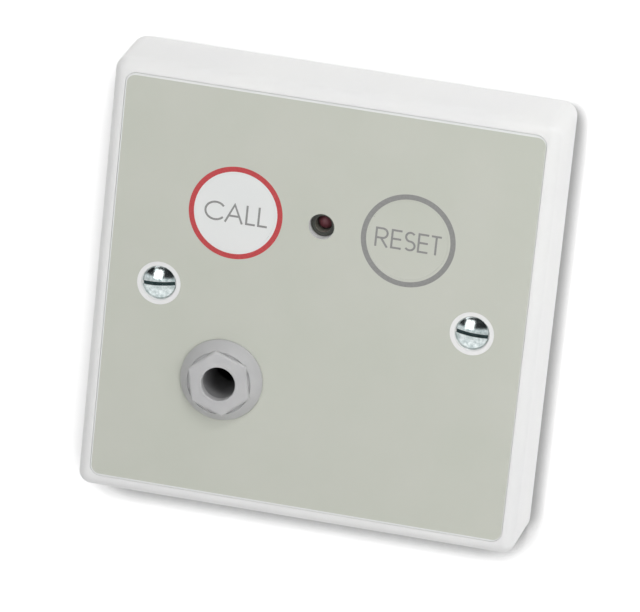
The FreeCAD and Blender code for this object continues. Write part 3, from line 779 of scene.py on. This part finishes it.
def headed_screw(axis, profile, thread, count):
    # The profile runs from the top of the head, where its radius is 0, to the thread
    head = [circle_ring(axis, radius, y, count) for radius, y in profile[1:]]
    points, faces = skin(head + thread_rings(axis, *thread, count))
    tip, last = len(points), len(points) - count
    points += [(axis[0], profile[0][1], axis[1]), (axis[0], thread[1], axis[1])]
    for i in range(count):
        j = (i + 1) % count
        faces += [(tip, i, j), (tip + 1, last + j, last + i)]
    return points, faces


def slot_cutter(axis, turn_deg, length, width, y_from, y_to):
    # A bar across the screw's axis, turned from x by the given angle
    turn = math.radians(turn_deg)
    along = Vector((math.cos(turn), 0, math.sin(turn))) * length / 2
    across = Vector((-math.sin(turn), 0, math.cos(turn))) * width / 2
    centre = Vector((axis[0], 0, axis[1]))
    bar = [centre + along * u + across * v for u, v in box_corners(0, 0, 1, 1)]
    return skin([[(p.x, y, p.z) for p in bar] for y in (y_from, y_to)], close_ends=True)


def in_slot(shape, axis, turn_deg):
    # 1 for a face in the slot, below its rounded edge, which takes the painted shade, and 0 for the
    # others
    points, faces = shape
    turn = math.radians(turn_deg)
    finish = []
    for face in faces:
        middle = sum((Vector(points[i]) for i in face), Vector()) / len(face)
        x, z = middle.x - axis[0], middle.z - axis[1]
        edge_y = crown_y(min(math.hypot(x, z), screw_head_radius)) + slot_edge
        # The lower wall of the slot lies open to the light, so it takes no painted shade
        across = z * math.cos(turn) - x * math.sin(turn)
        within = 0.03 - slot_width / 2 < across < slot_width / 2 + 0.01
        finish.append(int(within and edge_y < middle.y < crest_y + slot_depth + 0.01))
    return finish


def cut_and_bevel(shape, cutters, bevel_mm):
    # Cut away the cutters, round the sharp edges that are left, and give back a shape
    blank = add_object("blank", outward_mesh("blank", shape))
    tools = []
    for number, cutter in enumerate(cutters):
        tools.append(add_object(f"cutter_{number}", outward_mesh(f"cutter_{number}", cutter)))
        cut = blank.modifiers.new(f"cut_{number}", "BOOLEAN")
        cut.operation, cut.object, cut.solver = "DIFFERENCE", tools[-1], "EXACT"
    soften = blank.modifiers.new("soften", "BEVEL")
    soften.width, soften.segments = bevel_mm * MM, 2
    soften.limit_method, soften.angle_limit = "ANGLE", math.radians(50)
    made = blank.evaluated_get(bpy.context.evaluated_depsgraph_get()).to_mesh()
    points = [tuple(v.co / MM) for v in made.vertices]
    faces = [tuple(p.vertices) for p in made.polygons]
    for mesh in [thing.data for thing in [blank] + tools]:
        bpy.data.meshes.remove(mesh)
    return points, faces


# The crown, the edge of the head, and the cone under it that ends in the neck
fixing_profile = [(0.0, crest_y)]
for step in range(1, 15):
    radius = screw_head_radius * step / 14.5
    fixing_profile.append((radius, crown_y(radius)))
fixing_profile += [
    (screw_head_radius - 0.02, rim_y - 0.03),
    (screw_head_radius, rim_y + 0.03),
    (screw_head_radius - 0.12, rim_y + 0.16),
    (neck_radius + 0.05, rim_y + screw_head_radius - neck_radius),
    (neck_radius, rim_y + screw_head_radius - neck_radius + 0.15),
    (neck_radius, thread_start - 0.15),
]
fixing_thread = (thread_start, screw_high.y, thread_pitch, thread_crest, thread_root)
fixing_slot = (2 * screw_head_radius + 2, slot_width, crest_y - 1, crest_y + slot_depth)
for name, x, turn_deg in zip(
    ("fixing_screw_left", "fixing_screw_right"), (-screw_x, screw_x), slot_turns_deg,
):
    axis = (x, 0.0)
    blank = headed_screw(axis, fixing_profile, fixing_thread, 72)
    shape = cut_and_bevel(blank, [slot_cutter(axis, turn_deg, *fixing_slot)], slot_edge)
    # The faces inside the slot take the painted shade finish
    make_piece(
        name, shape, [screw_finish, slot_painted_shade_finish],
        replaces=["fixing_screws"], sharp_deg=30, face_finish=in_slot(shape, axis, turn_deg),
    )

# %% [markdown]
# ## The cap nut of the socket
#
# The nut is one nylon moulding: a flange with a conical top, a hexagon for a spanner
# and a nose with the hole for the plug. The hexagon stands in a round pocket in the top
# of the cone, and its corners run out into the cone, so six narrow lens-shaped gaps lie
# beside the flats. The walls are drawn as rings from the flange up, all with points at
# the same angles: where the pocket would cut into the hexagon, it stops at its wall.

# %% Rings of the nut
nut_low, nut_high = box_mm("jack_nut")
nose_y = nut_low.y
flange_radius = (nut_high.x - nut_low.x) / 2
flange_edge_y = front_y - 0.55
cone_top_y = front_y - 2.6
pocket_radius = 6.15
pocket_floor_y = cone_top_y + 0.4
half_flats = 11.3 / 2
hex_turn_deg = 90 + 11.0
hex_corner_radius, corner_steps, flat_steps = 0.45, 6, 24
nut_bore = 3.25
bush_radius = 4.8
nose_thickness = 1.6


def cone_y(radius):
    share = (radius - pocket_radius) / (flange_radius - pocket_radius)
    return cone_top_y + share * (flange_edge_y - cone_top_y)


def hexagon(half):
    # Turn and radius of points round a hexagon with rounded corners, half its width
    inner = (half - hex_corner_radius) / math.cos(math.radians(30))
    corners = []
    for turn_deg in [hex_turn_deg + 60 * i for i in range(6)]:
        turn = math.radians(turn_deg)
        middle = (inner * math.cos(turn), inner * math.sin(turn))
        radii = (hex_corner_radius, hex_corner_radius)
        corners.append(arc(middle, radii, turn_deg - 30, turn_deg + 30, corner_steps))
    outline = []
    for corner, following in zip(corners, corners[1:] + corners[:1]):
        outline += corner
        (x, z), (end_x, end_z) = corner[-1], following[0]
        for share in [i / flat_steps for i in range(1, flat_steps)]:
            outline.append((x + (end_x - x) * share, z + (end_z - z) * share))
    return [(math.atan2(z, x), math.hypot(x, z)) for x, z in outline]


def hexagon_ring(half, y):
    return [spot(jack_axis, turn, reach, y) for turn, reach in hexagon(half)]


wall = hexagon(half_flats)


def round_ring(radius, y):
    return [spot(jack_axis, turn, radius, y) for turn, _ in wall]


def pocket_ring(radius, y):
    # A circle inside the pocket, or the hexagon's wall where that stands further out;
    # there the wall meets the cone instead
    return [
        spot(jack_axis, turn, max(radius, reach), y if reach < radius else cone_y(reach))
        for turn, reach in wall
    ]


foot = [
    spot(jack_axis, turn, reach, pocket_floor_y if reach < pocket_radius else cone_y(reach))
    for turn, reach in wall
]
flange = [
    (bush_radius, front_y), (flange_radius - 0.08, front_y), (flange_radius, front_y - 0.08),
    (flange_radius, flange_edge_y + 0.1), (flange_radius - 0.03, flange_edge_y + 0.02),
    (flange_radius - 0.12, cone_y(flange_radius - 0.12)), (7.0, cone_y(7.0)),
]
pocket = [
    (pocket_radius + 0.1, cone_y(pocket_radius + 0.1)),
    (pocket_radius + 0.02, cone_y(pocket_radius + 0.03)),
    (pocket_radius, cone_top_y + 0.08), (pocket_radius, pocket_floor_y),
]
hexagon_top = [
    (half_flats, nose_y + 0.5), (half_flats - 0.06, nose_y + 0.34),
    (half_flats - 0.3, nose_y + 0.1), (half_flats - 0.46, nose_y + 0.05),
]
nose = [
    (nut_bore + 0.9, nose_y + 0.05), (nut_bore + 0.42, nose_y + 0.05), (nut_bore + 0.32, nose_y),
    (nut_bore + 0.14, nose_y), (nut_bore + 0.03, nose_y + 0.08), (nut_bore, nose_y + 0.2),
    (nut_bore, nose_y + nose_thickness), (bush_radius, nose_y + nose_thickness),
    (bush_radius, front_y),
]
nut_rings = [round_ring(*ring) for ring in flange] + [pocket_ring(*ring) for ring in pocket]
nut_rings += [foot] + [hexagon_ring(*ring) for ring in hexagon_top] + [round_ring(*ring) for ring in nose]
make_piece(
    "cap_nut", skin(nut_rings), [nut_finish], replaces=["jack_nut"], sharp_deg=28,
)

# %% [markdown]
# ## The lamp
#
# Behind its hole sits a 3 mm lamp of red epoxy, cast round its chip: a cylinder with a
# domed end. The epoxy is milky, so that the lamp spreads its light, and down in its
# sleeve with the lamp off it looks a dull dark red.

# %% Red epoxy and the lens
lamp_low, lamp_high = box_mm("indicator_lamp")
lens_radius = (lamp_high.x - lamp_low.x) / 2
lamp_finish = patterned(
    "cast_red_epoxy", ("#84454f", "#92525b"), (1.2, 1.0),
    Roughness=0.45, IOR=1.54, Transmission_Weight=0.25,
)[0]
lamp_profile = [(0.0, lamp_low.y)]
for step in range(1, 13):
    angle = math.radians(90 * step / 12)
    lamp_profile.append((
        lens_radius * math.sin(angle), lamp_low.y + lens_radius - lens_radius * math.cos(angle),
    ))
lamp_profile += [
    (lens_radius, lamp_high.y - 0.05), (lens_radius - 0.05, lamp_high.y), (0.0, lamp_high.y),
]
make_piece(
    "lamp_lens", lathe(lamp_profile, lamp_axis, 48), [lamp_finish],
    replaces=["indicator_lamp"],
)

# %% [markdown]
# ## The circuit board
#
# The board is a sheet of glass cloth in epoxy, with copper tracks etched on its back and
# green lacquer over all but the pads. Lacquered copper stands up by a few hundredths of
# a millimetre and looks a paler green, so the tracks are thin raised strokes in that
# green. A finish that tells flat faces from upright ones gives the board its bare cut
# edge and the resistors their pale ends. On the lamp's sleeve it keeps a dark rim and
# paints the bore paler, as painted light inside the shaded hollow.

# %% Laminate and lacquer


def flat_and_edge(name, flat_tones, edge_tones, roughness, cloud_mm):
    # One colour for faces that lie in the plane of the board, another for upright ones
    material, tree, shader, cloud, flat = patterned(
        name, flat_tones, (cloud_mm, 3.0), (0.5, 1.0, 0.006, 0.6), Roughness=roughness, IOR=1.55,
    )
    edge = add_node(tree, "ShaderNodeValToRGB", links={"Fac": (cloud, "Fac")})
    set_ramp(edge, *zip(TONE_SPAN, edge_tones))
    facing = add_node(tree, "ShaderNodeNewGeometry")
    parts = add_node(tree, "ShaderNodeSeparateXYZ", links={"Vector": (facing, "Normal")})
    lying = add_node(tree, "ShaderNodeMath", {"operation": "ABSOLUTE"}, links={0: (parts, "Y")})
    lies_flat = add_node(
        tree, "ShaderNodeMath", {"operation": "GREATER_THAN"}, {1: 0.7}, {0: (lying, "Value")},
    )
    both = add_node(
        tree, "ShaderNodeMix", {"data_type": "RGBA"},
        links={0: (lies_flat, "Value"), 6: (edge, "Color"), 7: (flat, "Color")},
    )
    tree.links.new(both.outputs[2], shader.inputs["Base Color"])
    return material


# The sleeve's paler upright tone is painted light for its bore, which would lie in shade
board_finish, track_finish, sleeve_painted_light_finish, resistor_finish = [
    flat_and_edge(*finish) for finish in [
        ("lacquered_glass_epoxy", ("#1d6a42", "#227549"), ("#a9a373", "#b8b282"), 0.32, 3.0),
        ("lacquer_over_copper", ("#2f8a57", "#37945f"), ("#2a7d4e", "#2f8555"), 0.3, 2.0),
        ("charcoal_nylon_painted_lit_bore", ("#34362f", "#3a3c36"), ("#828379", "#8c8d84"), 0.5, 5.0),
        ("glazed_ceramic", ("#1b1b1e", "#242427"), ("#dcdad2", "#e6e4dd"), 0.35, 0.8),
    ]
]
solder_finish = plated_metal("solder_reflowed", "#b9bcbd", "#cfd2d2", (0.16, 0.34), 0.8)
legend_ink = printed_ink("ink_legend_white", "#e2e3dd", "#ecede8")

# %% Tracks
track_width, copper_rise, root_depth = 0.5, 0.04, 0.02


def raised(outlines, rise):
    # The area that the outlines cover together, standing up from the back of the board
    places, net = net_of(outlines)
    covered = [face for face, held_by in net if held_by]
    return slab(places, covered, board_back_y + rise, board_back_y - root_depth)


# Where the leads of the parts stand
chip_x, chip_z = axis_of("control_chip")
chip_pin_x = [chip_x + (i - 1.5) * 1.27 for i in range(4)]
pin_low, pin_high = chip_z - 2.75, chip_z + 2.75
resistor_low, resistor_high = box_mm("resistor_chips")
resistor_x = [resistor_low.x + 0.8 + 2.9 * i for i in range(5)]
resistor_z = (resistor_low.z + resistor_high.z) / 2
resistor_top_z, resistor_foot_z = resistor_z + 1.65, resistor_z - 1.65
capacitor_axis = axis_of("smoothing_capacitor")
capacitor_x, capacitor_z = capacitor_axis
left_pad_x, right_pad_x = capacitor_x - 3.7, capacitor_x + 3.7
terminal_x = (-5.0, 0.0, 5.0)
lead_x = (lamp_axis[0] - 1.27, lamp_axis[0] + 1.27)
lamp_z = lamp_axis[1]

# The runs of the tracks, by the pins and pads that they join
bus_z = -21.5
track_ends = [(-6.5, 6.0), (2.2, 12.0), (12.0, 18.0), (17.0, 18.0), (21.0, 18.0)]
wire_a, wire_b, wire_c = terminal_x
pin_a, pin_b, pin_c, pin_d = chip_pin_x
chip_a, chip_b, chip_c, chip_d, chip_e = resistor_x
tracks = [
    [(wire_a, 21), (wire_a, 12), (-9, 8), (-9, -4), (-14, -6), (-16.3, -7.2)],
    [(wire_b, 21), (wire_b, 19), (lead_x[1], lamp_z)],
    [(wire_c, 21), (wire_c, 10), (pin_a, 8), (pin_a, pin_high)],
    [(lead_x[0], lamp_z), (lead_x[0], -10), (chip_b, -12), (chip_b, resistor_top_z)],
    [(pin_a, pin_low), (pin_a, -8.8), (chip_d, -10.3), (chip_d, resistor_top_z)],
    [(pin_b, pin_low), (chip_e, -9), (chip_e, resistor_top_z)],
    [(pin_c, pin_low), (pin_c, -9), (left_pad_x, -11.7), (left_pad_x, capacitor_z)],
    [(pin_d, pin_low), (pin_d, -8.5), (right_pad_x, -13), (right_pad_x, capacitor_z)],
    [(pin_b, pin_high), (pin_b, 3), (12, 7), track_ends[2]],
    [(pin_c, pin_high), (pin_c, 1), (17, 9), track_ends[3]],
    [(pin_d, pin_high), (pin_d, -1), (21, 9.6), track_ends[4]],
    [(-6.3, -17.5), (-6.6, bus_z), (right_pad_x, bus_z), (right_pad_x, capacitor_z)],
    [(chip_a, resistor_top_z), (chip_a, -11), (-6.5, -8), track_ends[0]],
    [(chip_c, resistor_top_z), track_ends[1]],
] + [[(x, resistor_foot_z), (x, bus_z)] for x in resistor_x]
track_outlines = [stroke(line, track_width) for line in tracks]
track_outlines += [circle(end, 0.62, 24) for end in track_ends]
make_piece("board_tracks", raised(track_outlines, copper_rise), [track_finish], sharp_deg=30)
print("tracks:", len(tracks))

# %% [markdown]
# ## Pads, solder and print on the board
#
# Pads are left free of lacquer and tinned, so they are bare metal. The parts sit on them
# in solder, which wets both and sets as a small mound. Round a lead that comes through
# the board the mound is a steep cone. The white ink marks the place and the way round
# of each part, with lines only: a dot at the chip's first pin, a cross for plus.

# %% Pads
pads = [box_corners(x, z, 0.3, 0.65) for x in chip_pin_x for z in (pin_low, pin_high)]
pads += [
    box_corners(x, z, 0.9, 0.55) for x in resistor_x for z in (resistor_foot_z, resistor_top_z)
]
pads += [box_corners(x, capacitor_z, 0.9, 0.6) for x in (left_pad_x, right_pad_x)]
# Two large ones hold the springs of the socket
pads += [box_corners(-16.3, -7.3, 1.9, 1.5), box_corners(-6.6, -16.9, 1.2, 1.9)]
pads += [circle((x, lamp_z), 0.95, 32) for x in lead_x]
pads += [circle(end, 0.42, 24) for end in track_ends]
make_piece("board_pads", raised(pads, copper_rise + 0.015), [solder_finish], sharp_deg=30)

# %% Solder


def solder_mound(x, z, half_x, half_z, rise):
    # Half of a flattened ball, standing on the board
    rings = []
    for lift_deg in range(0, 90, 15):
        lift = math.radians(lift_deg)
        radii = (half_x * math.cos(lift), half_z * math.cos(lift))
        y = board_back_y + rise * math.sin(lift)
        rings.append([(px, y, pz) for px, pz in arc((x, z), radii, 0, 342, 19)])
    return skin(rings, close_ends=True)


def solder_cone(x, z, lead_radius):
    # Solder that has climbed a lead, with a hollow slope
    profile = [(0.0, board_back_y + 0.01)]
    for share in [step / 6 for step in range(7)]:
        profile.append((lead_radius + 0.55 * (1 - share) ** 2, board_back_y + 0.02 + 0.78 * share))
    return lathe(profile + [(0.0, board_back_y + 0.8)], (x, z), 28)


mounds = [solder_cone(x, lamp_z, 0.36) for x in lead_x]
mounds += [
    solder_mound(x, z, 0.26, 0.5, 0.16)
    for x in chip_pin_x for z in (pin_low - 0.05, pin_high + 0.05)
]
mounds += [
    solder_mound(x, z, 0.72, 0.36, 0.42)
    for x in resistor_x for z in (resistor_z - 1.72, resistor_z + 1.72)
]
mounds += [solder_mound(x, capacitor_z, 0.7, 0.5, 0.45) for x in (left_pad_x, right_pad_x)]
mounds += [solder_mound(-16.3, -6.3, 1.3, 0.42, 0.5), solder_mound(-5.75, -16.9, 0.4, 1.5, 0.5)]
points, faces = [], []
for more_points, more_faces in mounds:
    faces += [tuple(i + len(points) for i in face) for face in more_faces]
    points += more_points
make_piece("solder_joints", (points, faces), [solder_finish], sharp_deg=60)

# %% Printed marks on the board
legend_width, legend_rise = 0.18, 0.02
plus_x, plus_z, plus_half = capacitor_x + 5.2, capacitor_z + 3.6, 0.6


def frame_of(x, z, half_x, half_z):
    corners = box_corners(x, z, half_x, half_z)
    return [[a, b] for a, b in zip(corners, corners[1:] + corners[:1])]


lines = frame_of(chip_x, chip_z, 3.1, 1.6)
for x in resistor_x:
    lines += frame_of(x, resistor_z, 1.15, 2.5)
lines += [arc(capacitor_axis, (4.9, 4.9), start, start + 140, 40) for start in (20, 200)]
lines += [
    [(plus_x - plus_half, plus_z), (plus_x + plus_half, plus_z)],
    [(plus_x, plus_z - plus_half), (plus_x, plus_z + plus_half)],
    [(-8.6, 19.6), (8.6, 19.6)],
    arc(lamp_axis, (2.4, 2.4), 30, 330, 40),
]
marks = [stroke(line, legend_width) for line in lines]
marks += [circle((chip_pin_x[0] - 1.2, pin_low), 0.3, 20)]
make_piece("board_legend", raised(marks, legend_rise), [legend_ink], sharp_deg=30)

# %% [markdown]
# ## Screws and can on the back
#
# The board hangs on two thread-forming screws with pan heads and a cross recess. The
# screw terminals clamp a wire with small slotted screws in square shafts. The capacitor
# is a drawn aluminium can, rolled in near its foot to grip the rubber seal, with a dark
# field printed on its end to mark the minus side.

# %% Board screws
board_screw_low, board_screw_high = box_mm("board_screws")
pan_radius, pan_top_y = 2.4, board_screw_high.y
upper_axis = (board_screw_low.x + pan_radius, board_screw_high.z - pan_radius)
lower_axis = (board_screw_high.x - pan_radius, board_screw_low.z + pan_radius)
pan_profile = [(0.0, pan_top_y), (0.7, pan_top_y - 0.02), (1.3, pan_top_y - 0.12)]
pan_profile += arc((1.5, board_back_y + 0.45), (0.9, 0.78), 75, 0, 5)
pan_profile += [
    (pan_radius, board_back_y + 0.1), (pan_radius - 0.1, board_back_y), (1.05, board_back_y),
]
forming_thread = (board_back_y - 0.1, board_screw_low.y, 0.8, 1.25, 0.98)
cross_slot = (2.7, 0.5, pan_top_y - 1, pan_top_y + 1)
for name, axis, turn_deg in [
    ("board_screw_upper", upper_axis, 20.0), ("board_screw_lower", lower_axis, 64.0),
]:
    cross = [slot_cutter(axis, turn_deg + quarter, *cross_slot) for quarter in (0, 90)]
    shape = cut_and_bevel(headed_screw(axis, pan_profile, forming_thread, 48), cross, 0.04)
    make_piece(
        name, shape, [screw_finish], replaces=["board_screws"], sharp_deg=30,
    )
    print("its axis is at", [round(c, 2) for c in axis])

# %% Terminal screws
clamp_low, clamp_high = box_mm("terminal_screws")
clamp_radius = (clamp_high.z - clamp_low.z) / 2
clamp_z = (clamp_low.z + clamp_high.z) / 2
cheese_profile = [
    (0.0, clamp_low.y), (clamp_radius - 0.1, clamp_low.y), (clamp_radius, clamp_low.y + 0.1),
    (clamp_radius, clamp_high.y - 0.15), (clamp_radius - 0.15, clamp_high.y), (0.0, clamp_high.y),
]
clamp_slot = (2 * clamp_radius + 1, 0.5, clamp_high.y - 0.7, clamp_high.y + 1)
for number, (x, turn_deg) in enumerate(zip(terminal_x, (12.0, 48.0, 96.0)), 1):
    axis = (x, clamp_z)
    slot = slot_cutter(axis, turn_deg, *clamp_slot)
    make_piece(
        f"terminal_screw_{number}", cut_and_bevel(lathe(cheese_profile, axis, 40), [slot], 0.03),
        [screw_finish], replaces=["terminal_screws"], sharp_deg=30,
    )

# %% Capacitor can
can_low, can_high = box_mm("smoothing_capacitor")
can_radius = (can_high.x - can_low.x) / 2
can_finish = plated_metal("drawn_aluminium", "#c3c6c9", "#d3d6d8", (0.24, 0.36), 2.5, 0.2, 0.004)
# How far each point lies inside the can's radius and above its foot
can_foot = [
    (0.25, 0.0), (0.05, 0.1), (0.0, 0.3), (0.0, 0.6), (0.12, 0.8),
    (0.25, 1.0), (0.25, 1.15), (0.12, 1.35), (0.0, 1.55),
]
can_profile = [(0.0, can_low.y)] + [(can_radius - inset, can_low.y + up) for inset, up in can_foot]
can_profile += arc((can_radius - 0.4, can_high.y - 0.4), (0.4, 0.4), 0, 90, 6)
can_profile += [
    (can_radius - 0.6, can_high.y), (can_radius - 0.7, can_high.y - 0.06), (0.0, can_high.y - 0.06),
]
make_piece(
    "capacitor_can", lathe(can_profile, capacitor_axis, 64), [can_finish],
    replaces=["smoothing_capacitor"], sharp_deg=40,
)
print_radius = can_radius - 0.75
field_radius = print_radius - 0.05
minus_field = arc(capacitor_axis, (field_radius, field_radius), 128, 232, 30)
minus_ink = printed_ink("ink_can_black", "#202124", "#2a2b2f")
top_shape, top_faces = printed_sheet(
    circle(capacitor_axis, print_radius, 64), [], [[minus_field]], can_high.y - 0.03, can_high.y - 0.1,
)
make_piece(
    "capacitor_end", top_shape, [can_finish, minus_ink], face_finish=top_faces,
)

# %% [markdown]
# ## Finishes of the solids that stay
#
# The rest of the model's solids already have their true shape, so they keep it and only
# get a finish. A solid's mesh has one material slot, which is filled here. Stamped
# parts are plated before or after they are cut: tin where they are soldered, nickel on
# bronze where they have to spring, and plain nickel on the cages that grip the wires.

# %% Stamped and plated parts
stamped_finish = plated_metal("stamped_tinned_steel", "#a9aba9", "#bcbeba", (0.26, 0.42), 1.2)
tin_finish = plated_metal("tin_plated_copper", "#c3c5c3", "#d6d8d4", (0.2, 0.36), 0.8)
spring_finish = plated_metal("nickel_plated_bronze", "#bdb39a", "#cfc6ae", (0.18, 0.3), 1.5)
cage_finish = plated_metal("nickel_plated_steel", "#b3b2ab", "#c6c5bd", (0.2, 0.34), 1.2)

# %% Dress the model's own solids


def dress(finish, *names):
    for name in names:
        mesh = nodes[name].data
        mesh.materials.clear()
        mesh.materials.append(finish)


for key in ("call", "reset"):
    dress(key_finish, f"{key}_plunger")
    dress(black_finish, f"{key}_switch_base", f"{key}_switch_stem")
    dress(stamped_finish, f"{key}_switch_cover")
    dress(tin_finish, f"{key}_switch_terminals")
dress(plate_finish, "front_plate")
dress(socket_finish, "jack_body")
dress(black_finish, "jack_cover", "capacitor_base")
# The sleeve's bore takes a paler tone as painted light
dress(sleeve_painted_light_finish, "lamp_sleeve")
dress(terminal_finish, "terminal_block")
dress(epoxy_finish, "control_chip")
dress(resistor_finish, "resistor_chips")
dress(board_finish, "circuit_board")
dress(tin_finish, "lamp_leads", "chip_leads", "capacitor_tabs", "resistor_caps")
dress(spring_finish, "jack_tip_spring", "jack_sleeve_spring")
dress(cage_finish, "terminal_clamps")
